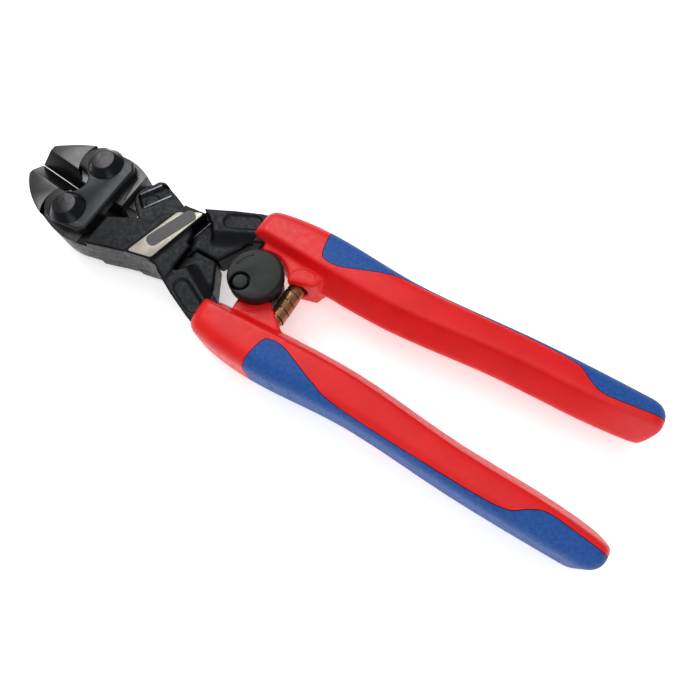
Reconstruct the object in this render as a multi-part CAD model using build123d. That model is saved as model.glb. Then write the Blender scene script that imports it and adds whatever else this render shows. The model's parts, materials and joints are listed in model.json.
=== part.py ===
from build123d import *
from math import asin, atan2, cos, hypot, radians, sin, tan
import os

# Compact lever bolt cutter, closed and locked. Millimetres.
# +X runs from the nose to the grip ends, +Y to the moving handle, +Z out of the front face.
# Every X below is measured from the nose tip, and the whole tool is centred at the end.

# Overall sizes
LENGTH = 199.0  # nose tip to grip ends
DEPTH = 20.0  # rivet head to rivet head, and the depth of the grips

# Link plates and their rivets
RIVET_X = 22.5
RIVET_Y = 9.15  # each rivet's distance from the tool's centre line
RIVET_R = 4.0
RIVET_HEAD_R = 5.7
RIVET_TOP_R = 3.5
RIVET_HEAD = 2.5  # height of a head above its plate
PLATE = 3.0
PLATE_REAR_X = 31.4
PLATE_RIM = 1.45  # plate past a rivet's bore, at its outer edge
PLATE_LOBE_R = 6.4  # rounded corners at the nose end
PLATE_LOBE_X = 20.4
PLATE_CHAMFER = 0.5
NOTCH_R = 4.7
NOTCH_X = 16.5

# Clearances
SLIDE_GAP = 0.1  # between faces that slide on each other
RUN_GAP = 0.05  # radial, a pin turning in its bore
PART_GAP = 0.3  # between pieces that pass each other
PIVOT_SLACK = 0.5  # radial, the drive pin in the jaw's eye

# Jaws
NOSE_STEP = 0.9  # nose faces below the plate faces
EDGE_GAP = 0.3  # slit between the closed edges
EDGE_TILT = -5.0  # degrees, the cutting line against the tool's centre line
EDGE_TURN_X = 9.0  # where the cutting line crosses the centre line
EDGE_END_X = 18.0
EDGE_HEIGHT = 2.0  # edges above the middle plane
EDGE_LAND = 0.4
BEVEL_HALF_WIDTH = 4.4
NOSE_SLANT = 2.8  # how far the nose leans back at the faces
JAW_REAR_X = 34.0
JAW_UNDERSIDE = 0.6

# Lever joint
HINGE_X = 54.0
HINGE_PIN_R = 3.2
HUB_R = 8.5
EYE_WALL_R = 6.8  # cheek round the hinge pin
CHEEK = 3.3
BELLY_R = 3.0  # rear edge of the web's outer side
BLOCK_STEP = 0.9  # label block above the cheek around it
BLOCK_CLEAR_R = 12.5  # the necks reach full thickness outside this radius
DRIVE_X = 40.3
DRIVE_Y = 7.3
DRIVE_PIN_R = 2.0
CHANNEL_DEPTH = 1.1
EYE_R = 5.0
EYE_HALF = 1.5  # half the thickness of the jaw's eye
OPEN_ANGLE = 20.0  # degrees the moving handle opens

# Handles
NECK_HALF = 6.2
TANG_HALF = 4.0
TANG_HALF_WIDTH = 3.2
GRIP_X = 76.0
GRIP_EDGE_R = 4.6
GRIP_LEAN = 4.1  # from the fingers' line on the middle plane out to the ridge on each face
GRIP_CORNER_R = 4.0
GRIP_END_R = 4.8
GRIP_END_Y = (13.2, 23.7)  # the blunt end's two corners
TANG_SHORTFALL = 12.0  # from the tang's end to the grip's end
SCOOP_R = 18.0
SCOOP_DEPTH = 4.3
OVAL_LENGTH = 12.0
OVAL_WIDTH = 5.0
OVAL_DEPTH = 0.4

# Lock
DISC_X = 84.5
DISC_Y = 0.8
DISC_R = 8.1
DISC_THICK = 4.0
DISC_SEAT = 4.3  # disc's back above the middle plane
EAR_HALF = 2.5
EAR_R = 7.2
LOCK_PIN_R = 1.6
LOCK_HEAD_R = 3.4
LOCK_HEAD = 1.3
LOCK_HUB_R = 3.0
DISC_TOP = 1.2  # disc left over the pin's end
WASHER_R = 2.9
WASHER = 0.4
KEEPER = 0.6
WALL_GAP = 0.9  # radial, the grip's wall round the disc
STUD_R = 2.9
STUD_TOP_R = 2.2
STUD_RING_DEPTH = 1.4
STUD_PIN_R = 1.5
STUD_REACH = 4.6  # stud's distance from the disc's centre
STUD_ANGLE = 240.0
LOCK_TURN = 90.0

# Opening spring
SPRING_R = 2.7
SPRING_EAR_GAP = 0.2
SPRING_END_R = 2.3
SPRING_TOP_Y = 8.3
SPRING_BASE_Y = -8.6
SPRING_END = 3.2  # length of each narrower end
SPRING_WALL = 0.9
SEAT_GAP = 0.3

MID = DEPTH / 2
PLATE_HALF_WIDTH = RIVET_Y + RIVET_R + PLATE_RIM
PLATE_LOBE_Y = PLATE_HALF_WIDTH - PLATE_LOBE_R
PLATE_OUT = MID - RIVET_HEAD  # half-thicknesses, all about the middle plane
CORE = PLATE_OUT - PLATE - SLIDE_GAP
NOSE = PLATE_OUT - NOSE_STEP
CHEEK_OUT = PLATE_OUT - BLOCK_STEP
CHEEK_IN = PLATE_OUT - CHEEK
HUB = CHEEK_IN - PART_GAP
DRIVE_BOSS_R = DRIVE_X - JAW_REAR_X - PART_GAP - PIVOT_SLACK
SPRING_X = DISC_X + EAR_R + SPRING_EAR_GAP + SPRING_R
HINGE = (HINGE_X, 0.0)
DRIVE = (DRIVE_X, DRIVE_Y)
DISC = (DISC_X, DISC_Y)
GRIP_RUN = LENGTH - GRIP_X


def slab(sketch, low, high):
    """A plan outline made solid between two heights above the middle plane."""
    return Pos(0, 0, MID + low) * extrude(sketch, high - low)


def plate_of(sketch, half):
    return slab(sketch, -half, half)


def outline(*points):
    return make_face(Polyline(*points, close=True))


def disc(centre, radius):
    return Pos(centre[0], centre[1]) * Circle(radius)


def block_of(low, high):
    """A plan rectangle from its low corner to its high corner."""
    middle = Pos((low[0] + high[0]) / 2, (low[1] + high[1]) / 2)
    return middle * Rectangle(high[0] - low[0], high[1] - low[1])


def turned(point, centre, angle):
    """A plan point turned about a centre, in degrees."""
    dx, dy = point[0] - centre[0], point[1] - centre[1]
    c, s = cos(radians(angle)), sin(radians(angle))
    return (centre[0] + dx * c - dy * s, centre[1] + dx * s + dy * c)


def strap(a, ra, b, rb):
    """Two discs and the belt round both."""
    run = hypot(b[0] - a[0], b[1] - a[1])
    lean = asin((ra - rb) / run)
    along = atan2(b[1] - a[1], b[0] - a[0])
    belt = []
    for centre, radius, side in ((a, ra, 1), (b, rb, 1), (b, rb, -1), (a, ra, -1)):
        angle = along + side * (radians(90) - lean)
        belt.append((centre[0] + radius * cos(angle), centre[1] + radius * sin(angle)))
    return disc(a, ra) + disc(b, rb) + outline(*belt)


def edge_y(x):
    """Height of the cutting line on the plan."""
    return tan(radians(EDGE_TILT)) * (x - EDGE_TURN_X)


def along_edge(shape):
    """Moves a shape drawn along +X at the origin on to the cutting line."""
    return Pos(EDGE_TURN_X, 0, MID) * Rot(0, 0, EDGE_TILT) * shape


def v_groove(depth_from, depth_to):
    """Both jaws' bevels on one face, as one long V."""
    half = BEVEL_HALF_WIDTH
    section = Plane.YZ * make_face(
        Polyline((0, depth_from), (half, depth_to), (-half, depth_to), close=True)
    )
    front, rear = -EDGE_TURN_X - half, NOTCH_X + NOTCH_R - EDGE_TURN_X + 1
    return along_edge(Pos(front, 0, 0) * extrude(section, rear - front))


def cut_nose(jaw):
    """Bevels towards the edges, and leans the nose back."""
    over = 0.1
    slope = (NOSE - EDGE_HEIGHT) / BEVEL_HALF_WIDTH
    top = EDGE_HEIGHT + slope * (BEVEL_HALF_WIDTH + over)
    jaw -= v_groove(EDGE_HEIGHT, top)
    jaw -= v_groove(EDGE_HEIGHT - EDGE_LAND, -NOSE - over)
    for side in (1, -1):
        wedge = Plane.XZ * make_face(
            Polyline(
                (-1, MID + side * EDGE_HEIGHT),
                (0, MID + side * EDGE_HEIGHT),
                (NOSE_SLANT, MID + side * (NOSE + over)),
                (-1, MID + side * (NOSE + over)),
                close=True,
            )
        )
        jaw -= Pos(0, -DEPTH, 0) * extrude(wedge, -2 * DEPTH)
    return jaw


def edge_side(side):
    """The cutting-line side of a jaw, from its relief to the nose."""
    half = side * EDGE_GAP / 2
    return [(EDGE_END_X, edge_y(EDGE_END_X) + half), (0, edge_y(0) + half)]


def plate_clear(side):
    """Plan area that the link plate sweeps over a jaw's nose."""
    reach = hypot(RIVET_X - PLATE_LOBE_X, RIVET_Y - PLATE_LOBE_Y) + PLATE_LOBE_R + PART_GAP
    return disc((RIVET_X, side * RIVET_Y), reach)


def moving_jaw():
    shape = Spline((0.3, 5.0), (8.5, 10.5), (18.0, 14.6), (JAW_REAR_X, 13.3))
    relief, front = edge_side(1)
    rim = Polyline(
        shape @ 1, (JAW_REAR_X, JAW_UNDERSIDE), (EDGE_END_X + 0.8, JAW_UNDERSIDE), relief, front, shape @ 0
    )
    plan = make_face([*shape.edges(), *rim.edges()])
    nose = plan & block_of((-1, -2), (17, 20))
    body = plate_of(plan, CORE) + plate_of(nose - plate_clear(1), NOSE)
    body += plate_of(strap((JAW_REAR_X - 5, DRIVE_Y - 1), 4.0, DRIVE, EYE_R), EYE_HALF)
    body -= plate_of(disc((RIVET_X, RIVET_Y), RIVET_R + RUN_GAP), CORE)
    body -= plate_of(disc(DRIVE, DRIVE_PIN_R + PIVOT_SLACK), CORE)
    return cut_nose(body)


def neck_plan():
    """One neck beside the centre line, moving side, with the run into the grip."""
    return outline(
        (HINGE_X + 4, PART_GAP / 2),
        (70.5, PART_GAP / 2),
        (75.5, 9.0),
        (80.5, 11.6),
        (90, 13.2),
        (90, 20.4),
        (84, 20.6),
        (78, 20.4),
        (74, 19.2),
        (66, 15.9),
        (58, 12.0),
        (HINGE_X, 9.0),
        (HINGE_X, 4.0),
    )


def at_grip(part, y):
    """A plan point at a share of the grip's run."""
    return (GRIP_X + part * GRIP_RUN, y)


def tang_plan():
    """Flat steel bar along the middle of the grip."""
    centre = [(0.08, 16.6), (0.16, 17.1), (0.31, 15.8), (0.46, 16.2), (0.66, 17.9), (0.8, 18.2)]
    end = (LENGTH - TANG_SHORTFALL, 18.6)
    points = [at_grip(part, y) for part, y in centre] + [end]
    w = TANG_HALF_WIDTH
    outer = Spline(*[(x, y + w) for x, y in points])
    inner = Spline(*[(x, y - w) for x, y in points])
    caps = [Line(outer @ 0, inner @ 0), Line(outer @ 1, inner @ 1)]
    return make_face([*outer.edges(), *inner.edges(), *[e for c in caps for e in c.edges()]])


def scoop(side):
    """Shallow forged hollow on the inner half of a neck, on one face."""
    lift = NECK_HALF + SCOOP_R - SCOOP_DEPTH
    bar = Rot(0, 90, 0) * Cylinder(SCOOP_R, 60)
    return Pos(67, -5.2, MID + side * lift) * Rot(0, 0, 27) * bar


def oval():
    """Long round-ended recess on a neck's flat."""
    return Pos(70.8, 14.0) * Rot(0, 0, 25) * SlotOverall(OVAL_LENGTH, OVAL_WIDTH)


def neck_and_tang():
    """Neck with scoops and ovals, then the tang, for the moving side."""
    thick = neck_plan() - disc(HINGE, BLOCK_CLEAR_R)
    thick &= block_of((HINGE_X, 0), (86, 30))
    solid = plate_of(thick, NECK_HALF)
    for side in (1, -1):
        top = side * NECK_HALF
        solid -= scoop(side) & plate_of(block_of((58, 0), (77, 14)), NECK_HALF + 1)
        low, high = sorted((top - side * OVAL_DEPTH, top + side))
        solid -= slab(oval(), low, high)
    solid += plate_of(neck_plan(), HUB)
    return solid + plate_of(tang_plan(), TANG_HALF)


def lever_plan(grow=0.0):
    """Arm and hub of the moving lever, with an even margin."""
    shoulder = outline((37.4, 12.4), (38.3, 13.9), (40.0, 14.6), (43.8, 13.3), (52.6, 9.6), DRIVE)
    return strap(DRIVE, DRIVE_BOSS_R + grow, HINGE, HUB_R + grow) + shoulder


def moving_lever():
    body = plate_of(lever_plan(), HUB) + neck_and_tang()
    # Stepped channel across the arm's faces
    channel = outline((40.1, 13.6), (35.6, 6.5), (39.7, 3.3), (45.0, 11.7), (45.5, 14))
    for side in (1, -1):
        low, high = sorted((side * (HUB - CHANNEL_DEPTH), side * (HUB + 1)))
        body -= slab(channel, low, high)
    x, y = DRIVE
    slot = disc(DRIVE, EYE_R + PIVOT_SLACK) + outline(
        (x - 9, y - 5.6), (x - 9, y + 9), (x + 3.5, y + 9), (x + 3.5, y), (x, y - 5.6)
    )
    body -= plate_of(slot, EYE_HALF + 0.2)
    body -= plate_of(disc(DRIVE, DRIVE_PIN_R), CORE)
    body -= plate_of(disc(HINGE, HINGE_PIN_R + RUN_GAP), CORE)
    return body


LABEL_BLOCK = [(46.6, -12.2), (55.2, -10.4), (60.2, 10.4), (53.0, 9.6)]


def root_plan():
    """Fixed jaw, web under the hinge, and the start of the neck."""
    belly = [(8.0, -10.6), (17.0, -15.1), (26.0, -16.9), (36.0, -15.1), (48.0, -11.7)]
    lower = Spline((1.5, -3.2), *belly, (56.5, -10.9))
    relief, front = edge_side(-1)
    top = Polyline(
        lower @ 1,
        (62, -13.6),
        (62, -PART_GAP / 2),
        (JAW_REAR_X + 9, -4.0),
        (JAW_REAR_X, -5.0),
        (EDGE_END_X + 1.2, -2.2),
        relief,
        front,
        lower @ 0,
    )
    return make_face([*lower.edges(), *top.edges()])


def lever_sweep():
    """Plan area that the arm and hub pass through while the handle opens."""
    area = lever_plan(PART_GAP)
    steps = 4
    for step in range(1, steps + 1):
        angle = OPEN_ANGLE * step / steps
        area += strap(turned(DRIVE, HINGE, angle), DRIVE_BOSS_R + PART_GAP, HINGE, HUB_R + PART_GAP)
    return area


def cheek_plan():
    """Front or rear wall over the hinge, joined to the web below."""
    edge = outline(
        (JAW_REAR_X + 0.2, -5.0),
        (43.2, -0.4),
        (50.3, -0.4),
        (53.0, 9.6),
        (60.2, 10.4),
        (55.2, -10.4),
        (62, -12.6),
        (62, -30),
        (JAW_REAR_X + 0.2, -30),
    )
    return (edge & (root_plan() + block_of((JAW_REAR_X, -6), (62, 11)))) + disc(HINGE, EYE_WALL_R)


def ear_plan():
    """Upright ear on the fixed handle's tang that carries the lock."""
    foot = outline((82.5, -14.5), (82.0, DISC_Y - 3), (89.5, DISC_Y - 3), (88.0, -14.5))
    return foot + disc(DISC, EAR_R)


def stud_slot():
    """Arc slot in the ear for the lock stud's lower end."""
    reach = STUD_PIN_R + PART_GAP
    ring = disc(DISC, STUD_REACH + reach) - disc(DISC, STUD_REACH - reach)
    first = radians(STUD_ANGLE)
    last = radians(STUD_ANGLE - LOCK_TURN)
    middle = (first + last) / 2
    far = 3 * EAR_R
    corners = [(DISC_X + far * cos(a), DISC_Y + far * sin(a)) for a in (first, middle, last)]
    area = ring & outline(DISC, *corners)
    for angle in (first, last):
        area += disc((DISC_X + STUD_REACH * cos(angle), DISC_Y + STUD_REACH * sin(angle)), reach)
    return area


def fixed_jaw_lever():
    plan = root_plan()
    jaw = plan & block_of((-1, -30), (JAW_REAR_X + 0.2, 5))
    behind = plan & block_of((JAW_REAR_X, -30), (63, 5))
    web = plate_of(behind, CHEEK_OUT)
    web = fillet(web.edges().filter_by(GeomType.BSPLINE).group_by(Axis.Z)[0], BELLY_R)
    web -= plate_of(lever_sweep(), CHEEK_IN)
    nose = plan & block_of((-1, -30), (16, 5))
    cheeks = cheek_plan()
    body = plate_of(jaw, CORE) + plate_of(nose - plate_clear(-1), NOSE) + web
    for low, high in ((CHEEK_IN, CHEEK_OUT), (-CHEEK_OUT, -CHEEK_IN)):
        body += slab(cheeks, low, high)
    for low, high in ((CHEEK_IN, PLATE_OUT), (-PLATE_OUT, -CHEEK_IN)):
        body += slab(outline(*LABEL_BLOCK), low, high)
    neck = mirror(neck_and_tang(), Plane.XZ)
    neck -= plate_of(lever_sweep(), CHEEK_IN)
    body += neck
    body += plate_of(ear_plan(), EAR_HALF)
    body -= plate_of(stud_slot(), EAR_HALF)
    body -= plate_of(disc(DISC, LOCK_PIN_R), EAR_HALF)
    body -= plate_of(disc((RIVET_X, -RIVET_Y), RIVET_R + RUN_GAP), CORE)
    body -= slab(disc(HINGE, HINGE_PIN_R), -PLATE_OUT, CHEEK_OUT)
    return cut_nose(body)


def link_plate(front):
    """Plate over both rivets, with a round notch open to the nose."""
    x, y, r = PLATE_LOBE_X, PLATE_LOBE_Y, PLATE_LOBE_R
    lobes = disc((x, y), r) + disc((x, -y), r)
    w, end = PLATE_HALF_WIDTH, PLATE_REAR_X
    upper = [(x, w), (end - 2, w - 0.8), (end, w - 3)]
    rear = outline(*upper, *[(px, -py) for px, py in reversed(upper)])
    plan = lobes + rear - disc((NOTCH_X, 0), NOTCH_R) - block_of((0, -NOTCH_R), (NOTCH_X, NOTCH_R))
    for side in (1, -1):
        plan -= disc((RIVET_X, side * RIVET_Y), RIVET_R)
    low, high = (PLATE_OUT - PLATE, PLATE_OUT) if front else (-PLATE_OUT, PLATE - PLATE_OUT)
    body = slab(plan, low, high)
    face = body.faces().sort_by(Axis.Z)[-1 if front else 0]
    return chamfer(face.outer_wire().edges(), PLATE_CHAMFER)


def rivet(side):
    """Shank with a cone head on each face."""
    shank = Cylinder(RIVET_R, 2 * PLATE_OUT)
    head = Pos(0, 0, PLATE_OUT + RIVET_HEAD / 2) * Cone(RIVET_HEAD_R, RIVET_TOP_R, RIVET_HEAD)
    body = shank + head + mirror(head, Plane.XY)
    return Pos(RIVET_X, side * RIVET_Y, MID) * body


def fingers_line():
    """The fingers' side of a grip on the middle plane, from its end to its front."""
    inner = [(0.92, 11.8), (0.79, 10.9), (0.66, 10.4), (0.52, 8.8), (0.39, 7.5), (0.31, 7.4), (0.15, 8.3)]
    inner.append((0, 9.2))
    return Spline((LENGTH, GRIP_END_Y[0]), *[at_grip(f, y) for f, y in inner])


def grip_outline():
    """One handle's moulding, moving side."""
    outer = [(0, 21.4), (0.06, 23.0), (0.16, 23.9), (0.26, 23.3), (0.39, 22.1), (0.52, 22.4), (0.66, 23.4)]
    outer.append((0.92, 23.8))
    outer_end = GRIP_END_Y[1]
    outside = Spline(*[at_grip(f, y) for f, y in outer], (LENGTH, outer_end))
    inside = fingers_line()
    end = Line(outside @ 1, inside @ 0)
    front = Line(inside @ 1, outside @ 0)
    face = make_face([edge for part in (outside, end, inside, front) for edge in part.edges()])
    face = fillet([v for v in face.vertices() if v.X > LENGTH - 1], GRIP_END_R)
    return fillet([v for v in face.vertices() if v.X < GRIP_X + 1], GRIP_CORNER_R)


def grip_blank():
    """Round on the outer side, and leaning back to a soft ridge on the fingers' side."""
    body = plate_of(grip_outline(), MID)
    rims = body.edges().group_by(Axis.Z)
    body = fillet([*rims[0], *rims[-1]], GRIP_EDGE_R)
    inside = fingers_line()
    far = 3 * DEPTH
    front, rear = inside @ 1, inside @ 0
    corners = [(GRIP_X - 9, front.Y), (GRIP_X - 9, far), (LENGTH + 9, far), (LENGTH + 9, rear.Y)]
    rim = Polyline(front, *corners, rear)
    plan = make_face([*inside.edges(), *rim.edges()])
    half = extrude(plan, hypot(GRIP_LEAN, MID), dir=(0, GRIP_LEAN, MID))
    return body & (Pos(0, 0, MID) * (half + mirror(half, Plane.XY)))


def inlay_plan():
    """Where the second, softer moulding shows: patch, outer strip and end."""
    patch = [(0.18, 15.6), (0.2, 13.9), (0.23, 14.0), (0.26, 15.3), (0.33, 18.6), (0.39, 20.3)]
    strip = [(0.59, 21.4), (0.72, 21.8), (0.79, 21.2)]
    tail = [(0.825, 18.6), (0.86, 17.0), (0.93, 17.8), (1.03, 19.4)]
    marks = [(0.168, 40), (0.168, 24), *patch, *strip, *tail]
    line = Spline(*[at_grip(f, y) for f, y in marks])
    rim = Polyline(line @ 1, at_grip(1.03, 40), line @ 0)
    return make_face([*line.edges(), *rim.edges()])


def tang_room():
    """Space inside a grip that its steel fills."""
    return plate_of(neck_plan(), NECK_HALF) + plate_of(tang_plan(), TANG_HALF)


def grip_red():
    return grip_blank() - plate_of(inlay_plan(), DEPTH) - tang_room()


def grip_inlay():
    return (grip_blank() & plate_of(inlay_plan(), DEPTH)) - tang_room()


def upper_grip():
    """Moving handle's grip, with the curved wall round the disc and the spring pocket."""
    wall = outline((80, 12), (82, 6), (92.5, 3.2), (93.5, 4.8), (100.5, 6.6), (101.5, 9.5), (102, 12))
    wall -= disc(DISC, DISC_R + WALL_GAP)
    body = grip_red() + (plate_of(wall, 6.0) - tang_room())
    bore = Rot(90, 0, 0) * Cylinder(SPRING_R + SEAT_GAP + 0.2, 10)
    return body - Pos(SPRING_X, SPRING_TOP_Y + SEAT_GAP - 5, MID) * bore


def lower_grip():
    """Fixed handle's grip, with the flange under the disc and the spring's seat."""
    flange = outline((83, -12), (83, -7.4), (91.4, -2.8), (99.8, -9.4), (100.5, -12))
    body = grip_red()
    body = mirror(body, Plane.XZ)
    body += plate_of(flange, TANG_HALF) - mirror(tang_room(), Plane.XZ)
    body -= plate_of(ear_plan() + disc(DISC, EAR_R + PART_GAP), EAR_HALF)
    bore = Rot(90, 0, 0) * Cylinder(SPRING_R + SEAT_GAP, 10)
    return body - Pos(SPRING_X, SPRING_BASE_Y + 5, MID) * bore


def lock_disc():
    body = slab(disc(DISC, DISC_R), DISC_SEAT, DISC_SEAT + DISC_THICK)
    body = chamfer(body.edges().group_by(Axis.Z)[-1], 0.5)
    body += slab(disc(DISC, LOCK_HUB_R), EAR_HALF + WASHER + SLIDE_GAP, DISC_SEAT)
    body -= slab(disc(DISC, LOCK_PIN_R + RUN_GAP), 0, DISC_SEAT + DISC_THICK - DISC_TOP)
    return body - slab(disc(stud_place(), STUD_R), DISC_SEAT, DISC_SEAT + DISC_THICK)


def stud_place():
    angle = radians(STUD_ANGLE)
    return (DISC_X + STUD_REACH * cos(angle), DISC_Y + STUD_REACH * sin(angle))


def lock_stud():
    """Off-centre stud: ringed head in the disc, pin through the ear's slot."""
    top = DISC_SEAT + DISC_THICK
    here = stud_place()
    body = slab(disc(here, STUD_R), DISC_SEAT, top - STUD_RING_DEPTH)
    body += slab(disc(here, STUD_TOP_R), DISC_SEAT, top - 0.1)
    return body + slab(disc(here, STUD_PIN_R), -EAR_HALF, DISC_SEAT)


def lock_rivet():
    """Pivot fixed in the ear, with a flat head behind it."""
    back = -EAR_HALF - KEEPER
    body = slab(disc(DISC, LOCK_PIN_R), back, DISC_SEAT + DISC_THICK - DISC_TOP - SLIDE_GAP)
    return body + slab(disc(DISC, LOCK_HEAD_R), back - LOCK_HEAD, back)


def lock_washer():
    """Friction washer between the ear and the disc's hub."""
    return slab(disc(DISC, WASHER_R) - disc(DISC, LOCK_PIN_R + SLIDE_GAP), EAR_HALF, EAR_HALF + WASHER)


def keeper_washer():
    """Washer between the ear's back and the rivet's head."""
    return slab(disc(DISC, WASHER_R) - disc(DISC, LOCK_PIN_R), -EAR_HALF - KEEPER, -EAR_HALF)


def opening_spring():
    """Wound-strip spring: a wide middle with a narrower coil out of each end."""
    length = SPRING_TOP_Y - SPRING_BASE_Y
    ends = Cylinder(SPRING_END_R, length)
    body = ends + Cylinder(SPRING_R, length - 2 * SPRING_END)
    body -= Cylinder(SPRING_END_R - SPRING_WALL, length)
    return Pos(SPRING_X, (SPRING_TOP_Y + SPRING_BASE_Y) / 2, MID) * (Rot(90, 0, 0) * body)


def hinge_pin():
    return slab(disc(HINGE, HINGE_PIN_R), -PLATE_OUT, CHEEK_OUT)


def drive_pin():
    return plate_of(disc(DRIVE, DRIVE_PIN_R), HUB)


NODES = {
    "fixed_jaw_lever": fixed_jaw_lever,
    "moving_jaw": moving_jaw,
    "moving_lever": moving_lever,
    "front_link_plate": lambda: link_plate(True),
    "rear_link_plate": lambda: link_plate(False),
    "upper_link_rivet": lambda: rivet(1),
    "lower_link_rivet": lambda: rivet(-1),
    "hinge_pin": hinge_pin,
    "drive_pin": drive_pin,
    "upper_grip": upper_grip,
    "upper_grip_inlay": grip_inlay,
    "lower_grip": lower_grip,
    "lower_grip_inlay": lambda: mirror(grip_inlay(), Plane.XZ),
    "lock_disc": lock_disc,
    "lock_stud": lock_stud,
    "lock_rivet": lock_rivet,
    "lock_washer": lock_washer,
    "lock_keeper_washer": keeper_washer,
    "opening_spring": opening_spring,
}


def build_all():
    os.makedirs("parts", exist_ok=True)
    for name, make in NODES.items():
        part = Pos(-LENGTH / 2, 0, 0) * make()
        part.label = name
        export_step(part, f"parts/{name}.step")


build_all()
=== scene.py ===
"""Compact lever bolt cutter, closed, lying on a pale floor."""

import json
import math

import bmesh
import bpy
from mathutils import Matrix, Vector
from mathutils.bvhtree import BVHTree


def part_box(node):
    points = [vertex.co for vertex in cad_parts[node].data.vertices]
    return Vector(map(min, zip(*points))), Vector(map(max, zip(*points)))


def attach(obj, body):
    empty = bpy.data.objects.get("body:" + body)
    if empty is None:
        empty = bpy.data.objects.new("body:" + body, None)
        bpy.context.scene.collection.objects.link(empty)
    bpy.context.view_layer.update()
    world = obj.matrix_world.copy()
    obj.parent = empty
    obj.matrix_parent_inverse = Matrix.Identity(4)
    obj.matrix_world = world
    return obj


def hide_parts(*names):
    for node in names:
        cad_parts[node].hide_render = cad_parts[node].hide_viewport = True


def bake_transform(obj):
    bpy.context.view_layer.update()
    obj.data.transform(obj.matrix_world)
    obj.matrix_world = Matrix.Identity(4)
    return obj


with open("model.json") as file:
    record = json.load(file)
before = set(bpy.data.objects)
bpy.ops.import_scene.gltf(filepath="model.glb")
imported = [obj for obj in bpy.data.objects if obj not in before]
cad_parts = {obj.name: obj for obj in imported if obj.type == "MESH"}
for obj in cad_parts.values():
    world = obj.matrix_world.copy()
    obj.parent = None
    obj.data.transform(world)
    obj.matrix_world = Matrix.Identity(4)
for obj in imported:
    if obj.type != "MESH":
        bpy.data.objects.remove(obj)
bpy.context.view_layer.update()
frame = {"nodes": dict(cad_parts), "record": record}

MM = 0.001
NODES = frame["nodes"]
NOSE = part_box("fixed_jaw_lever")[0].x
GRIP_LOW, GRIP_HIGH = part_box("upper_grip")
DISC_LOW, DISC_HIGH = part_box("lock_disc")
SPRING_LOW, SPRING_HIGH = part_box("opening_spring")
TOP = GRIP_HIGH.z
PLATE_LOW, PLATE_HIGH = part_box("front_link_plate")
LABEL_TOP = PLATE_HIGH.z
MERGE = 0.002 * MM


def at(x, y, z=0.0):
    """A point by its distance behind the nose, its side and its height, in millimetres."""
    return Vector((NOSE + x * MM, y * MM, z * MM))


# ---------------------------------------------------------------- materials


def linear(red, green, blue):
    """Linear colour from the 0 to 255 values that a colour picker shows."""
    steps = [c / 255 for c in (red, green, blue)]
    return [s / 12.92 if s <= 0.04045 else ((s + 0.055) / 1.055) ** 2.4 for s in steps] + [1]


class Finish:
    """A principled material with procedural grain on its roughness, its colour and its relief."""

    def __init__(self, name, colour, roughness, metallic=0.0):
        self.material = bpy.data.materials.new(name)
        self.material.use_nodes = True
        self.tree = self.material.node_tree
        self.shader = self.tree.nodes["Principled BSDF"]
        self.shader.inputs["Base Color"].default_value = colour
        self.shader.inputs["Metallic"].default_value = metallic
        self.shader.inputs["Roughness"].default_value = roughness
        self.colour = colour
        self.place = self.node("ShaderNodeTexCoord").outputs["Object"]
        self.relief = None

    def node(self, kind, **settings):
        made = self.tree.nodes.new(kind)
        for key, value in settings.items():
            setattr(made, key, value)
        return made

    def join(self, source, target):
        self.tree.links.new(source, target)

    def noise(self, size, detail=4.0, stretch=(1, 1, 1)):
        """Noise whose features are about size metres across."""
        scaled = self.node("ShaderNodeMapping")
        scaled.inputs["Scale"].default_value = [s / size for s in stretch]
        grain = self.node("ShaderNodeTexNoise")
        grain.inputs["Scale"].default_value = 1
        grain.inputs["Detail"].default_value = detail
        self.join(self.place, scaled.inputs["Vector"])
        self.join(scaled.outputs["Vector"], grain.inputs["Vector"])
        return grain.outputs["Fac"]

    def spread(self, factor, low, high):
        """Maps the middle of a noise to low and high."""
        ramp = self.node("ShaderNodeMapRange")
        ramp.inputs["From Min"].default_value = 0.35
        ramp.inputs["From Max"].default_value = 0.65
        ramp.inputs["To Min"].default_value = low
        ramp.inputs["To Max"].default_value = high
        self.join(factor, ramp.inputs["Value"])
        return ramp.outputs["Result"]

    def vary_roughness(self, size, low, high, **noise):
        self.join(self.spread(self.noise(size, **noise), low, high), self.shader.inputs["Roughness"])
        return self

    def tint(self, factor, other):
        """Mixes the present colour towards another one."""
        mix = self.node("ShaderNodeMix", data_type="RGBA")
        source = self.shader.inputs["Base Color"]
        if source.is_linked:
            self.join(source.links[0].from_socket, mix.inputs["A"])
        else:
            mix.inputs["A"].default_value = self.colour
        mix.inputs["B"].default_value = other
        self.join(factor, mix.inputs["Factor"])
        self.join(mix.outputs["Result"], source)
        return self

    def mottle(self, size, other, amount=1.0, **noise):
        return self.tint(self.spread(self.noise(size, **noise), 0, amount), other)

    def bump(self, size, depth, **noise):
        grain = self.node("ShaderNodeBump")
        grain.inputs["Strength"].default_value = 1
        grain.inputs["Distance"].default_value = depth
        self.join(self.noise(size, **noise), grain.inputs["Height"])
        if self.relief is not None:
            self.join(self.relief, grain.inputs["Normal"])
        self.relief = grain.outputs["Normal"]
        self.join(self.relief, self.shader.inputs["Normal"])
        return self

    def axis(self, name, low, high):
        """0 below low and 1 above high, along one object axis."""
        split = self.node("ShaderNodeSeparateXYZ")
        self.join(self.place, split.inputs["Vector"])
        ramp = self.node("ShaderNodeMapRange", interpolation_type="SMOOTHSTEP")
        ramp.inputs["From Min"].default_value = low
        ramp.inputs["From Max"].default_value = high
        self.join(split.outputs[name], ramp.inputs["Value"])
        return ramp.outputs["Result"]

    def done(self):
        return self.material


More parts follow.
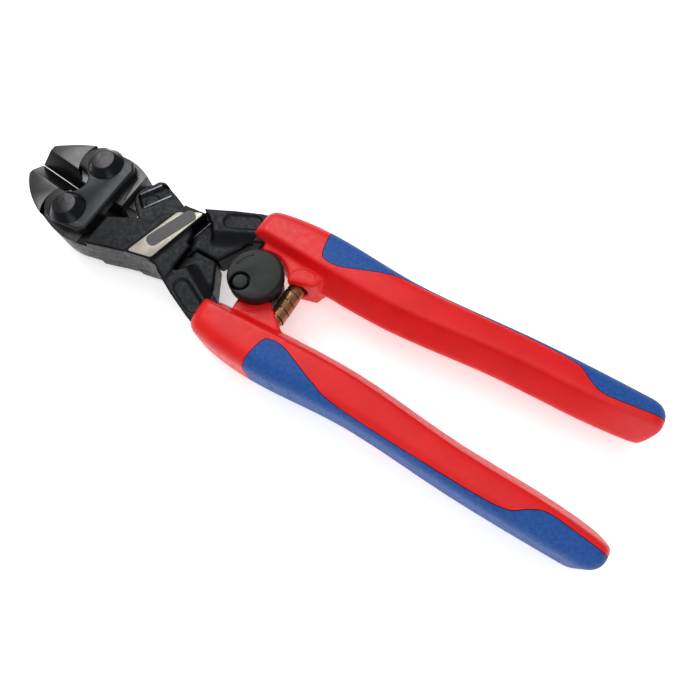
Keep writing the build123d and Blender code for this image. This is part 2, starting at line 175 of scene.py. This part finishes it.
def forging_finish():
    steel = Finish("black_forging", linear(25, 26, 29), 0.34, metallic=0.7)
    steel.shader.inputs["Specular IOR Level"].default_value = 0.3
    steel.mottle(5 * MM, linear(19, 20, 22), detail=4)
    steel.vary_roughness(1.2 * MM, 0.3, 0.5, detail=6)
    return steel.bump(0.5 * MM, 0.02 * MM, detail=6).bump(4 * MM, 0.04 * MM, detail=2).done()


def jaw_finish():
    steel = Finish("ground_jaw", linear(88, 88, 89), 0.34, metallic=0.8)
    steel.mottle(6 * MM, linear(72, 72, 73), detail=6)
    steel.vary_roughness(0.8 * MM, 0.28, 0.42, stretch=(1, 6, 1))
    return steel.bump(0.25 * MM, 0.008 * MM, stretch=(1, 8, 1)).done()


def plate_finish():
    steel = Finish("satin_plate", linear(50, 52, 53), 0.36, metallic=0.8)
    steel.mottle(5 * MM, linear(43, 45, 46), detail=6)
    steel.vary_roughness(0.6 * MM, 0.3, 0.44, detail=6)
    return steel.bump(0.3 * MM, 0.012 * MM, detail=5).done()


def rivet_finish():
    steel = Finish("turned_rivet", linear(20, 22, 28), 0.18, metallic=0.7)
    # The flat top is tinted lighter than the cone: partly its own satin finish, partly a painted highlight
    # for the light falling on the top.
    flat = steel.axis("Z", TOP - 0.25 * MM, TOP - 0.05 * MM)
    steel.tint(flat, linear(44, 42, 44))
    steel.mottle(1.1 * MM, linear(30, 29, 32), 0.2, detail=8)
    steel.vary_roughness(1.5 * MM, 0.14, 0.3, detail=5)
    return steel.bump(0.6 * MM, 0.012 * MM, detail=5).done()


def groove_finish():
    steel = Finish("dark_ground_bevel", linear(22, 22, 26), 0.3, metallic=0.7)
    return steel.vary_roughness(0.6 * MM, 0.26, 0.4, stretch=(1, 5, 1)).bump(0.25 * MM, 0.01 * MM).done()


def rib_highlight_finish():
    # Light grey steel for the ribs: a painted highlight standing in for light caught along their edges.
    steel = Finish("rib_painted_highlight", linear(120, 122, 130), 0.34, metallic=0.75)
    return steel.mottle(1.2 * MM, linear(74, 76, 84), 0.8, detail=5).bump(0.3 * MM, 0.01 * MM).done()


def small_steel_finish():
    steel = Finish("plain_steel", linear(150, 152, 155), 0.3, metallic=0.9)
    steel.vary_roughness(0.6 * MM, 0.24, 0.4)
    return steel.bump(0.3 * MM, 0.01 * MM).done()


def red_finish():
    plastic = Finish("red_moulding", linear(232, 18, 22), 0.42)
    plastic.mottle(9 * MM, linear(222, 13, 18), detail=3)
    plastic.vary_roughness(1.5 * MM, 0.36, 0.48)
    plastic.shader.inputs["Specular IOR Level"].default_value = 0.36
    return plastic.bump(0.35 * MM, 0.02 * MM, detail=5).done()


def blue_finish():
    plastic = Finish("blue_soft_inlay", linear(20, 74, 152), 0.5)
    plastic.shader.inputs["Specular IOR Level"].default_value = 0.25
    plastic.mottle(0.9 * MM, linear(44, 92, 162), 0.7, detail=6)
    plastic.vary_roughness(0.8 * MM, 0.46, 0.62)
    return plastic.bump(0.6 * MM, 0.06 * MM, detail=6).done()


def lock_finish():
    plastic = Finish("grained_lock_plastic", linear(20, 22, 24), 0.46)
    plastic.shader.inputs["Specular IOR Level"].default_value = 0.25
    plastic.mottle(0.7 * MM, linear(28, 30, 32), 0.7, detail=6)
    return plastic.bump(0.35 * MM, 0.03 * MM, detail=5).done()


def spring_finish():
    strip = Finish("copper_strip", linear(160, 122, 88), 0.34, metallic=0.85)
    strip.mottle(1.5 * MM, linear(128, 92, 64), 0.8, detail=4)
    return strip.vary_roughness(0.5 * MM, 0.22, 0.4).bump(0.3 * MM, 0.01 * MM).done()


def band_finish():
    steel = Finish("bare_ground_steel", linear(172, 166, 155), 0.4, metallic=0.6)
    steel.mottle(3 * MM, linear(150, 144, 134), 0.8, detail=5)
    return steel.vary_roughness(0.5 * MM, 0.3, 0.42, stretch=(1, 8, 1)).bump(0.2 * MM, 0.006 * MM).done()


def ink_finish():
    ink = Finish("black_ink", linear(28, 29, 32), 0.42)
    return ink.mottle(0.8 * MM, linear(44, 45, 48), 0.6).bump(0.3 * MM, 0.01 * MM).done()


FLOOR_GLOW = 0.5


def floor_finish():
    paper = Finish("pale_floor", linear(250, 250, 250), 0.85)
    paper.shader.inputs["Emission Color"].default_value = (1, 1, 1, 1)
    paper.shader.inputs["Emission Strength"].default_value = FLOOR_GLOW
    return paper.mottle(60 * MM, linear(247, 247, 247)).bump(3 * MM, 0.01 * MM).done()


FORGING = forging_finish()
JAW = jaw_finish()
PLATE = plate_finish()
RIVET = rivet_finish()
SMALL_STEEL = small_steel_finish()
GROOVE = groove_finish()
RIB = rib_highlight_finish()
RED = red_finish()
BLUE = blue_finish()
LOCK = lock_finish()
SPRING = spring_finish()
BAND = band_finish()
INK = ink_finish()


# ---------------------------------------------------------------- helpers


def piece(name, mesh, material, body):
    """A finished mesh as a named piece that moves with a body."""
    made = bpy.data.objects.new(name, mesh)
    bpy.context.scene.collection.objects.link(made)
    mesh.materials.clear()
    mesh.materials.append(material)
    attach(made, body)
    return made


def mesh_from(name, points, faces):
    mesh = bpy.data.meshes.new(name)
    mesh.from_pydata([tuple(p) for p in points], [], faces)
    shape = bmesh.new()
    shape.from_mesh(mesh)
    bmesh.ops.recalc_face_normals(shape, faces=shape.faces)
    shape.to_mesh(mesh)
    shape.free()
    return mesh


FLAT_WITHIN = math.radians(0.5)


def clean_copy(node):
    """A CAD node's mesh with its vertices merged and its flat faces whole."""
    shape = bmesh.new()
    shape.from_mesh(NODES[node].data)
    bmesh.ops.remove_doubles(shape, verts=shape.verts, dist=MERGE)
    bmesh.ops.dissolve_degenerate(shape, edges=shape.edges, dist=MERGE)
    bmesh.ops.dissolve_limit(
        shape, angle_limit=FLAT_WITHIN, verts=shape.verts, edges=shape.edges, use_dissolve_boundaries=False
    )
    bmesh.ops.recalc_face_normals(shape, faces=shape.faces)
    mesh = bpy.data.meshes.new(node + "_shape")
    shape.to_mesh(mesh)
    shape.free()
    return mesh


def applied(mesh, *modifiers):
    """The mesh after a stack of modifiers, each given as (kind, settings)."""
    carrier = bpy.data.objects.new("carrier", mesh)
    bpy.context.scene.collection.objects.link(carrier)
    for kind, settings in modifiers:
        step = carrier.modifiers.new(kind.lower(), kind)
        for key, value in settings.items():
            setattr(step, key, value)
    bpy.context.view_layer.update()
    seen = carrier.evaluated_get(bpy.context.evaluated_depsgraph_get())
    result = bpy.data.meshes.new_from_object(seen)
    bpy.data.objects.remove(carrier)
    return result


def smooth(mesh, angle=35):
    mesh.shade_smooth()
    mesh.set_sharp_from_angle(angle=math.radians(angle))
    return mesh


def bevelled(mesh, width, segments=2, angle=32):
    settings = {
        "width": width,
        "segments": segments,
        "limit_method": "ANGLE",
        "angle_limit": math.radians(angle),
        "use_clamp_overlap": True,
        "miter_outer": "MITER_ARC",
    }
    return smooth(applied(mesh, ("BEVEL", settings)))


def body_of(node):
    bodies = frame["record"]["behaviour"]["bodies"]
    return next(body for body, members in bodies.items() if node in members)


def dressed(node, material, width, segments=2, angle=32):
    """The CAD node's own shape with its edges rounded, in its place."""
    mesh = bevelled(clean_copy(node), width, segments, angle)
    made = piece(node + "_finished", mesh, material, body_of(node))
    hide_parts(node)
    return made


def in_box(mesh, low_x, high_x):
    """The part of a closed mesh between two distances from the nose, in millimetres."""
    low, high = at(low_x, -60, -5), at(high_x, 60, 30)
    corners = [(low.x, low.y), (high.x, low.y), (high.x, high.y), (low.x, high.y)]
    keeper = bpy.data.objects.new("keeper", prism("keeper", corners, low.z, high.z))
    bpy.context.scene.collection.objects.link(keeper)
    kept = applied(mesh, ("BOOLEAN", {"operation": "INTERSECT", "object": keeper, "solver": "EXACT"}))
    bpy.data.objects.remove(keeper)
    return kept


def forged(node):
    """The CAD node's shape with the soft edges of a forging."""
    mesh = applied(clean_copy(node), ("REMESH", {"mode": "VOXEL", "voxel_size": FORGED_VOXEL}))
    first, last = (at(x, 0).x for x in NECK_SPAN)
    scoops = (SCOOP_ROUNDS, lambda place: first < place.x < last and abs(place.y) < NECK_SCOOP_Y)
    return smooth(softened(mesh, (FORGED_ROUNDS, lambda place: True), scoops), 60)


def refinish(made, material, chosen):
    """Gives another finish to the faces that chosen(centre, normal) picks."""
    mesh = made.data
    mesh.materials.append(material)
    for face in mesh.polygons:
        if chosen(face.center, face.normal):
            face.material_index = len(mesh.materials) - 1


def painted(node, material):
    """Gives a CAD node its finish and leaves its shape."""
    mesh = NODES[node].data
    mesh.materials.clear()
    mesh.materials.append(material)


def prism(name, outline, low, high):
    """Upright solid over a closed outline of (x, y) points."""
    n = len(outline)
    points = [(x, y, z) for z in (low, high) for x, y in outline]
    sides = [(i, (i + 1) % n, n + (i + 1) % n, n + i) for i in range(n)]
    return mesh_from(name, points, [tuple(reversed(range(n))), tuple(range(n, 2 * n)), *sides])


def through(points, steps=8):
    """Smooth line through (x, y) points."""
    line = []
    for i in range(len(points) - 1):
        before = points[max(i - 1, 0)]
        first, second = points[i], points[i + 1]
        after = points[min(i + 2, len(points) - 1)]
        for k in range(steps):
            t = k / steps
            line.append(
                tuple(
                    0.5 * (2 * b + (c - a) * t + (2 * a - 5 * b + 4 * c - d) * t * t
                           + (3 * b - a - 3 * c + d) * t ** 3)
                    for a, b, c, d in zip(before, first, second, after)
                )
            )
    return line + [tuple(points[-1])]


def rounded(corners, radius, steps=6):
    """Outline with its corners rounded."""
    outline = []
    count = len(corners)
    for i, corner in enumerate(corners):
        corner = Vector(corner)
        before = (Vector(corners[i - 1]) - corner).normalized()
        after = (Vector(corners[(i + 1) % count]) - corner).normalized()
        start, end = corner + before * radius, corner + after * radius
        for k in range(steps + 1):
            t = k / steps
            outline.append(tuple(start.lerp(corner, t).lerp(corner.lerp(end, t), t)))
    return outline


# ---------------------------------------------------------------- steel


# Distances behind the nose, in millimetres
JAW_FACE_END = 33.0
WEB_START = 30.0
WEB_OVERLAP = 0.1
PAST_NOSE = -5
PAST_END = 250
NECK_SPAN = (58.0, 80.0)
GROOVE_END = 18.5

FORGED_VOXEL = 0.3 * MM
FORGED_ROUNDS = 4
NECK_SCOOP_Y = 9.5 * MM
SCOOP_ROUNDS = 14
GROOVE_HALF = 5.5 * MM
GROOVE_SLANT = 0.35
PIN_SUNK = 0.95 * MM

# Ribs on the arm and a painted highlight line by the neck, from the nose, and the ground strips behind the
# plate
ARM_RIBS = (((36.0, 7.0), (39.9, 13.2)), ((40.0, 3.7), (44.9, 11.5)))
NECK_RIB = ((61.3, 9.6), (59.7, 2.4))
JAW_STRIP = ((32.0, 11.6), (33.5, 2.6))
WEB_STRIP = ((34.6, -6.0), (34.6, -13.6))
ARM_RIB_WIDTH = 0.6
ARM_RIB_SUNK = 1.3
ARM_RIB_PROUD = 0.12
NECK_RIB_WIDTH = 0.4
NECK_RIB_SUNK = 0.6
NECK_RIB_PROUD = 0.18
STRIP_WIDTH = 1.1
STRIP_BASE = 4.1
WEB_STRIP_TOP = 1.5
UNDER_PLATE = 0.04


def in_groove(centre, normal):
    """The slanted faces that run down to the cutting edges."""
    near_nose = centre.x < at(GROOVE_END, 0).x and abs(centre.y) < GROOVE_HALF
    return near_nose and abs(normal.y) > GROOVE_SLANT


def lying_bar(name, ends, width, low, high, material, body):
    """A straight bevelled rib between two (x, y) points, given from the nose in millimetres."""
    start, end = (at(*point).xy for point in ends)
    across = (end - start).orthogonal().normalized() * width / 2 * MM
    corners = [tuple(p) for p in (start - across, end - across, end + across, start + across)]
    mesh = prism(name, rounded(corners, width / 3 * MM), low * MM, high * MM)
    return piece(name, bevelled(mesh, width / 5 * MM), material, body)


def drive_pin():
    """The pin's ends lie flush with the floor of the arm's channel."""
    mesh = bevelled(clean_copy("drive_pin"), 0.2 * MM)
    low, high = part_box("drive_pin")
    for vertex in mesh.vertices:
        vertex.co.z = min(max(vertex.co.z, low.z + PIN_SUNK), high.z - PIN_SUNK)
    made = piece("drive_pin_flush", mesh, FORGING, "moving_handle")
    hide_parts("drive_pin")


def steel_ribs():
    """Raised ribs on the arm and a thin bar by the neck, both light grey as a painted highlight, and the
    ground strips behind the link plate.
    """
    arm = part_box("drive_pin")[1].z / MM
    strip_low = LABEL_TOP / MM - STRIP_BASE
    # The arm's ribs are real raised ribs; their light grey colour is a painted highlight.
    for number, ends in enumerate(ARM_RIBS, 1):
        lying_bar(f"arm_rib_highlight_{number}", ends, ARM_RIB_WIDTH, arm - ARM_RIB_SUNK, arm + ARM_RIB_PROUD, RIB,
                  "moving_handle")
    lying_bar("jaw_rear_strip", JAW_STRIP, STRIP_WIDTH, strip_low, PLATE_LOW.z / MM - UNDER_PLATE, JAW,
              "moving_jaw")
    lying_bar("web_front_strip", WEB_STRIP, STRIP_WIDTH, strip_low, LABEL_TOP / MM - WEB_STRIP_TOP, JAW,
              "fixed_handle")
    # This thin light bar is a painted highlight for the light caught on the edge beside the label block.
    lying_bar("neck_edge_highlight", NECK_RIB, NECK_RIB_WIDTH, arm - NECK_RIB_SUNK, arm + NECK_RIB_PROUD, RIB,
              "moving_handle")


def steel_pieces():
    """Jaws, levers, link plates, rivets and pins."""
    crisp = in_box(bevelled(clean_copy("fixed_jaw_lever"), 0.25 * MM), PAST_NOSE, WEB_START + WEB_OVERLAP)
    fixed = piece("fixed_jaw", smooth(crisp), FORGING, "fixed_handle")
    web = piece("fixed_web_and_tang", in_box(forged("fixed_jaw_lever"), WEB_START, PAST_END), FORGING,
                "fixed_handle")
    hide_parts("fixed_jaw_lever")
    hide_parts("fixed_jaw_lever")
    lever = piece("moving_lever_forged", forged("moving_lever"), FORGING, "moving_handle")
    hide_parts("moving_lever")
    drive_pin()
    moving = dressed("moving_jaw", JAW, 0.2 * MM)
    refinish(fixed, JAW, lambda centre, normal: centre.x < at(JAW_FACE_END, 0).x and abs(normal.z) > 0.95)
    for jaw in (fixed, moving):
        refinish(jaw, GROOVE, in_groove)
    for node in ("front_link_plate", "rear_link_plate"):
        dressed(node, PLATE, 0.45 * MM, 3)
    for node in ("upper_link_rivet", "lower_link_rivet"):
        dressed(node, RIVET, 0.2 * MM, 3, 25)
    dressed("hinge_pin", RIVET, 0.3 * MM, 3)
    for node in ("lock_washer", "lock_keeper_washer", "lock_rivet"):
        painted(node, SMALL_STEEL)


# ---------------------------------------------------------------- grips

GRIP_RUN = GRIP_HIGH.x - GRIP_LOW.x
VOXEL = 0.45 * MM
HANDLE_START = 104.0
OUTER_SIDE_Y = 16 * MM
EDGE_ROUNDS = 5
GRIP_ROUNDS = 16
SEAM_GAP = 0.1 * MM
FAR_SIDE = 40
SEAM = [
    (0.168, 30), (0.168, 24), (0.18, 15.6), (0.2, 13.9), (0.23, 14.0), (0.26, 15.3), (0.33, 18.6),
    (0.39, 20.3), (0.59, 21.4), (0.72, 21.8), (0.79, 21.2), (0.825, 18.6), (0.86, 17.0), (0.93, 17.8),
    (1.03, 19.4),
]
DIMPLES = [(84, 11), (88, 13.5), (92, 11)] + [(x, z) for x in (99, 105, 111) for z in (10.5, 14)]
DIMPLE_R = 0.5 * MM
RIM_R = 0.4 * MM
RIM_GAP = 1.7 * MM
POCKET_RIM = [(92.8, 6.2), (92.8, 7.8), (94.0, 9.4), (96.4, 10.4), (98.6, 10.0), (99.6, 8.6)]
FLANGE_RIM = [(85.2, -9.2), (87.6, -8.6), (89.8, -7.5), (91.6, -5.6)]


def softened(mesh, *rounds):
    """Smooths a dense mesh; each round gives how often, and which places it is for."""
    shape = bmesh.new()
    shape.from_mesh(mesh)
    for times, chosen in rounds:
        picked = [v for v in shape.verts if chosen(v.co)]
        for _ in range(times):
            bmesh.ops.smooth_vert(
                shape, verts=picked, factor=0.5, use_axis_x=True, use_axis_y=True, use_axis_z=True
            )
    shape.to_mesh(mesh)
    shape.free()
    return mesh


def moulding(side):
    """The whole handle moulding with soft edges, red and blue together."""
    shape = bmesh.new()
    shape.from_mesh(NODES[side + "_grip"].data)
    shape.from_mesh(NODES[side + "_grip_inlay"].data)
    bmesh.ops.remove_doubles(shape, verts=shape.verts, dist=MERGE)
    mesh = bpy.data.meshes.new(side + "_moulding")
    shape.to_mesh(mesh)
    shape.free()
    mesh = applied(mesh, ("REMESH", {"mode": "VOXEL", "voxel_size": VOXEL}))
    handle = at(HANDLE_START, 0).x
    return softened(
        mesh,
        (EDGE_ROUNDS, lambda place: True),
        (GRIP_ROUNDS, lambda place: place.x > handle or abs(place.y) > OUTER_SIDE_Y),
    )


def inlay_cutter(side, grow):
    """Upright block over the inlay's plan, grown across the seam."""
    sign = 1 if side == "upper" else -1
    line = through([(GRIP_LOW.x + f * GRIP_RUN, sign * y * MM) for f, y in SEAM])
    moved = []
    for i, (x, y) in enumerate(line):
        before, after = Vector(line[max(i - 1, 0)]), Vector(line[min(i + 1, len(line) - 1)])
        along = (after - before).normalized()
        moved.append((x + sign * along.y * grow, y - sign * along.x * grow))
    far = sign * FAR_SIDE * MM
    outline = moved + [(line[-1][0], far), (line[0][0], far)]
    mesh = prism("inlay_cutter", outline, GRIP_LOW.z - MM, GRIP_HIGH.z + MM)
    cutter = bpy.data.objects.new("inlay_cutter", mesh)
    bpy.context.scene.collection.objects.link(cutter)
    return cutter


def dimple_cutter(mesh, side):
    """Small balls on the moulding's outer side, in one cutter."""
    sign = 1 if side == "upper" else -1
    shape = bmesh.new()
    shape.from_mesh(mesh)
    surface = BVHTree.FromBMesh(shape)
    shape.clear()
    for x, z in DIMPLES:
        start = at(x, sign * FAR_SIDE, z)
        hit = surface.ray_cast(start, Vector((0, -sign, 0)))[0]
        bmesh.ops.create_icosphere(shape, subdivisions=2, radius=DIMPLE_R, matrix=Matrix.Translation(hit))
    balls = bpy.data.meshes.new("dimples")
    shape.to_mesh(balls)
    shape.free()
    cutter = bpy.data.objects.new("dimples", balls)
    bpy.context.scene.collection.objects.link(cutter)
    return cutter


def surface_rib(name, ground, path, radius, body):
    """A soft raised line on a moulding, along (x, y) points in the frame."""
    points, faces = [], []
    down = Vector((0, 0, -1))
    above = [Vector((x, y, TOP + 5 * MM)) for x, y in through(path, 6)]
    hits = [ground.ray_cast(start, down)[0] for start in above]
    line = [hit for hit in hits if hit is not None]
    sides = 8
    for i, hit in enumerate(line):
        x, y = hit.xy
        across = (line[min(i + 1, len(line) - 1)] - line[max(i - 1, 0)]).xy.normalized().orthogonal()
        taper = radius * (0.35 + 0.65 * min(1, 4 * min(i, len(line) - 1 - i) / len(line)))
        for k in range(sides):
            turn = 2 * math.pi * k / sides
            side = across * math.cos(turn) * taper
            points.append((x + side.x, y + side.y, hit.z + taper * (math.sin(turn) - 0.45)))
    for i in range(len(line) - 1):
        for k in range(sides):
            a, b = i * sides + k, i * sides + (k + 1) % sides
            faces.append((a, b, b + sides, a + sides))
    end = (len(line) - 1) * sides
    faces += [tuple(range(sides)), tuple(range(end, end + sides))]
    return piece(name, smooth(mesh_from(name, points, faces), 60), RED, body)


def round_disc(first, last, steps=8):
    """Points beside the lock disc, between two angles in degrees."""
    centre = (DISC_LOW + DISC_HIGH) / 2
    reach = (DISC_HIGH.x - DISC_LOW.x) / 2 + RIM_GAP
    turns = [math.radians(first + (last - first) * k / steps) for k in range(steps + 1)]
    return [(centre.x + reach * math.cos(a), centre.y + reach * math.sin(a)) for a in turns]


def placed(path):
    """(x, y) points given from the nose in millimetres, in the frame."""
    return [tuple(at(x, y).xy) for x, y in path]


def grip_rims():
    """Raised lines round the disc, the spring's pocket and the flange."""
    for side, body, rims in (
        ("upper", "moving_handle", {"disc_rim": round_disc(90, 24), "pocket_rim": placed(POCKET_RIM)}),
        ("lower", "fixed_handle", {"flange_rim": placed(FLANGE_RIM)}),
    ):
        shape = bmesh.new()
        shape.from_mesh(bpy.data.objects[side + "_grip_moulded"].data)
        ground = BVHTree.FromBMesh(shape)
        shape.free()
        for name, path in rims.items():
            surface_rib(name, ground, path, RIM_R, body)


def grip_pieces(side, body):
    """The moulding, cut along its seam into the red and the blue."""
    whole = moulding(side)
    dimples = dimple_cutter(whole, side)
    whole = applied(whole, ("BOOLEAN", {"operation": "DIFFERENCE", "object": dimples, "solver": "EXACT"}))
    bpy.data.objects.remove(dimples)
    for kind, operation, grow, material in (
        ("_grip_inlay", "INTERSECT", -SEAM_GAP, BLUE),
        ("_grip", "DIFFERENCE", SEAM_GAP, RED),
    ):
        cutter = inlay_cutter(side, grow)
        cut = {"operation": operation, "object": cutter, "solver": "EXACT"}
        mesh = smooth(applied(whole.copy(), ("BOOLEAN", cut)), 50)
        bpy.data.objects.remove(cutter)
        made = piece(side + kind + "_moulded", mesh, material, body)
        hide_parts(side + kind)


# ---------------------------------------------------------------- spring

TURNS = 5
STEPS_A_TURN = 40
STRIP_THICK = 0.3 * MM
STRIP_SHARE = 0.95  # of the pitch that the strip covers
EDGE_SHARE = 0.03  # of the pitch that each rounded edge takes
END_SLIM = 0.14  # how much slimmer the ends are


def spring_piece():
    """Strip wound on edge, slimmer at both ends."""
    centre_x = (SPRING_LOW.x + SPRING_HIGH.x) / 2
    centre_z = (SPRING_LOW.z + SPRING_HIGH.z) / 2
    widest = (SPRING_HIGH.x - SPRING_LOW.x) / 2
    length = SPRING_HIGH.y - SPRING_LOW.y
    pitch = length / (TURNS + STRIP_SHARE)
    points, faces = [], []
    count = TURNS * STEPS_A_TURN
    for i in range(count + 1):
        share = i / count
        turn = 2 * math.pi * TURNS * share
        outer = widest * (1 - END_SLIM + END_SLIM * math.sin(math.pi * share) ** 0.5)
        low = SPRING_LOW.y + share * TURNS * pitch
        for radius, y in (
            (outer - STRIP_THICK, low),
            (outer, low + EDGE_SHARE * pitch),
            (outer, low + (STRIP_SHARE - EDGE_SHARE) * pitch),
            (outer - STRIP_THICK, low + STRIP_SHARE * pitch),
        ):
            points.append((centre_x + radius * math.cos(turn), y, centre_z + radius * math.sin(turn)))
    for i in range(count):
        for k in range(4):
            a, b = 4 * i + k, 4 * i + (k + 1) % 4
            faces.append((a, a + 4, b + 4, b))
    faces += [(0, 1, 2, 3), tuple(reversed(range(4 * count, 4 * count + 4)))]
    mesh = smooth(mesh_from("wound_spring", points, faces), 30)
    mesh.materials.append(SPRING)
    made = bpy.data.objects.new("wound_spring", mesh)
    bpy.context.scene.collection.objects.link(made)
    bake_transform(made)
    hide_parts("opening_spring")


# ---------------------------------------------------------------- label and lock

LABEL_CORNERS = [(47.6, -11.5), (54.9, -9.9), (59.7, 9.8), (58.2, 9.6), (55.4, 7.4), (52.6, 6.4)]
LOZENGE_ENDS = ((51.3, -6.6), (57.3, 8.6))
LOZENGE_WIDTH = 4.2
BAND_RAISED = 0.12 * MM
ARC_SHARES = (0.72, 0.8)  # of the disc's radius
ARC_START = 125
ARC_STEP = 5
ARC_POINTS = 12


def label_pieces():
    """Bare ground band with a plain dark lozenge."""
    corners = [tuple(at(x, y).xy) for x, y in LABEL_CORNERS]
    top = LABEL_TOP + BAND_RAISED
    band = bevelled(prism("label_band", rounded(corners, 0.9 * MM), top - 0.6 * MM, top), 0.08 * MM)
    piece("label_band", band, BAND, "fixed_handle")
    first, last = (at(*end).xy for end in LOZENGE_ENDS)
    along = (last - first).normalized()
    across = Vector((-along.y, along.x)) * LOZENGE_WIDTH / 2 * MM
    four = [first - across, last - across, last + across, first + across]
    mark = rounded([tuple(p) for p in four], LOZENGE_WIDTH * 0.48 * MM)
    lozenge = prism("label_lozenge", mark, top - 0.5 * MM, top + 0.05 * MM)
    piece("label_lozenge", smooth(lozenge), INK, "fixed_handle")


def lock_pieces():
    """Disc and stud, with a raised arc on the disc's face."""
    dressed("lock_disc", LOCK, 0.4 * MM, 3)
    dressed("lock_stud", LOCK, 0.3 * MM, 3)
    centre = (DISC_LOW + DISC_HIGH) / 2
    reach = (DISC_HIGH.x - DISC_LOW.x) / 2
    inner, outer = (reach * share for share in ARC_SHARES)
    sweep = [math.radians(ARC_START + ARC_STEP * k) for k in range(ARC_POINTS)]
    arc = [(centre.x + outer * math.cos(a), centre.y + outer * math.sin(a)) for a in sweep]
    arc += [(centre.x + inner * math.cos(a), centre.y + inner * math.sin(a)) for a in reversed(sweep)]
    mark = prism("lock_arc_mark", arc, DISC_HIGH.z - 0.5 * MM, DISC_HIGH.z + BAND_RAISED)
    piece("lock_arc_mark", bevelled(mark, 0.08 * MM), LOCK, "lock")


# ---------------------------------------------------------------- stage

CAMERA_FROM_NOSE = Vector((0.147914, -0.045152, 0.155454))
AZIMUTH, ELEVATION, ROLL = (math.radians(a) for a in (35.22, 70.39, -4.48))
LENS = 27.944
SENSOR = 36
WORLD_LIGHT = 0.42
FLOOR_HALF = 1.5


def camera():
    data = bpy.data.cameras.new("camera")
    data.lens = LENS
    data.sensor_width = SENSOR
    data.clip_start = 0.01
    held = bpy.data.objects.new("camera", data)
    bpy.context.scene.collection.objects.link(held)
    back = Vector((
        math.sin(AZIMUTH) * math.cos(ELEVATION),
        -math.cos(AZIMUTH) * math.cos(ELEVATION),
        math.sin(ELEVATION),
    ))
    level = Vector((math.cos(AZIMUTH), math.sin(AZIMUTH), 0))
    upright = back.cross(level)
    right = math.cos(ROLL) * level + math.sin(ROLL) * upright
    up = math.cos(ROLL) * upright - math.sin(ROLL) * level
    turn = Matrix((right, up, back)).transposed().to_4x4()
    place = Vector((NOSE, 0, 0)) + CAMERA_FROM_NOSE
    held.matrix_world = Matrix.Translation(place) @ turn
    bpy.context.scene.camera = held


def lamp(name, place, target, size, watts):
    data = bpy.data.lights.new(name, "AREA")
    data.shape = "RECTANGLE"
    data.size, data.size_y = size
    data.energy = watts
    made = bpy.data.objects.new(name, data)
    bpy.context.scene.collection.objects.link(made)
    aim = (Vector(place) - Vector(target)).to_track_quat("Z", "Y")
    made.matrix_world = Matrix.Translation(place) @ aim.to_matrix().to_4x4()


def studio():
    lamp("key", (-0.28, 0.2, 0.4), (-0.03, 0, 0), (0.3, 0.3), 1.3)
    lamp("top", (0.1, -0.1, 0.75), (0, 0, 0), (0.6, 0.6), 1.2)
    lamp("fill", (0.4, -0.45, 0.35), (0, 0, 0), (0.4, 0.3), 0.6)
    world = bpy.data.worlds.new("pale_room")
    world.use_nodes = True
    sky = world.node_tree.nodes["Background"]
    sky.inputs["Color"].default_value = (1, 1, 1, 1)
    sky.inputs["Strength"].default_value = WORLD_LIGHT
    bpy.context.scene.world = world
    bpy.context.scene.view_settings.view_transform = "Standard"


def floor():
    half = FLOOR_HALF
    corners = [(-half, -half, 0), (half, -half, 0), (half, half, 0), (-half, half, 0)]
    mesh = mesh_from("floor", corners, [(0, 1, 2, 3)])
    mesh.materials.append(floor_finish())
    ground = bpy.data.objects.new("floor", mesh)
    bpy.context.scene.collection.objects.link(ground)


camera()
studio()
floor()
steel_pieces()
steel_ribs()
grip_pieces("upper", "moving_handle")
grip_pieces("lower", "fixed_handle")
grip_rims()
spring_piece()
label_pieces()
lock_pieces()
